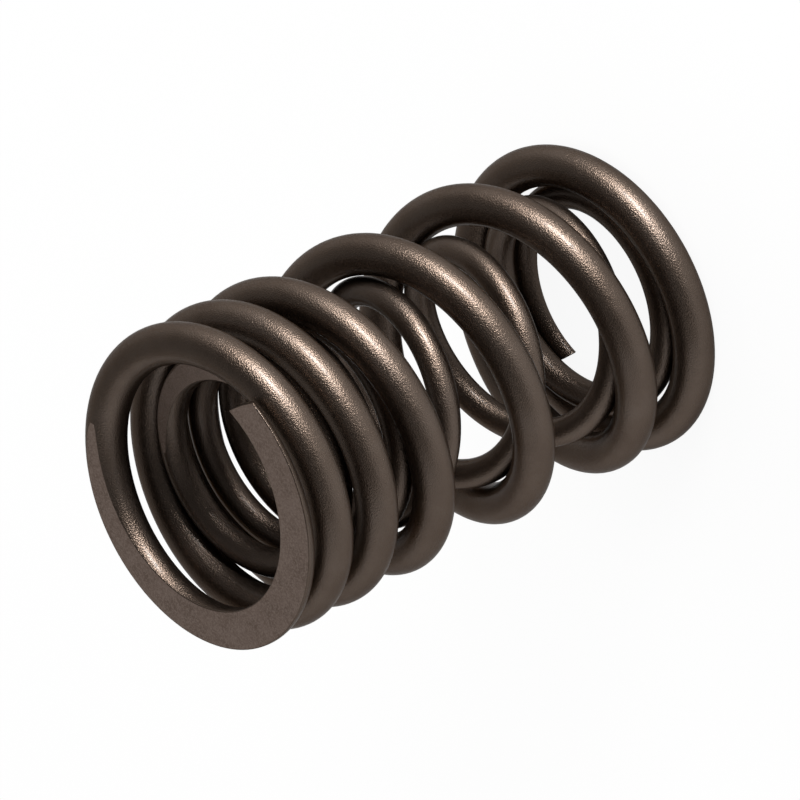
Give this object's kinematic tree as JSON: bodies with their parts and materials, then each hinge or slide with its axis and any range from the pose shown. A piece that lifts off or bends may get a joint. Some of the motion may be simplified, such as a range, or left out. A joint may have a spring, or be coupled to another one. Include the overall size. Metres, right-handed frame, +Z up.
{
  "type": "dual valve spring",
  "caption": "Counter-wound coil springs of round wire, one nested in the other, close-wound at the top, with closed and ground ends, for closing an engine valve.",
  "frame": {"origin": "on the coil axis, in the plane of both springs' lower ground ends", "axes": "+Z up along the coil axis towards the closely wound end, which takes the retainer"},
  "size_m": [0.036, 0.036, 0.0609],
  "materials": {
    "outer_wire": "satin brown steel, shot-peened round wire with matt ground end faces",
    "inner_wire": "satin brown steel, shot-peened round wire with matt ground end faces"
  },
  "bodies": {
    "root": {"outer_spring": "outer_wire", "inner_spring": "inner_wire"}
  },
  "joints": []
}
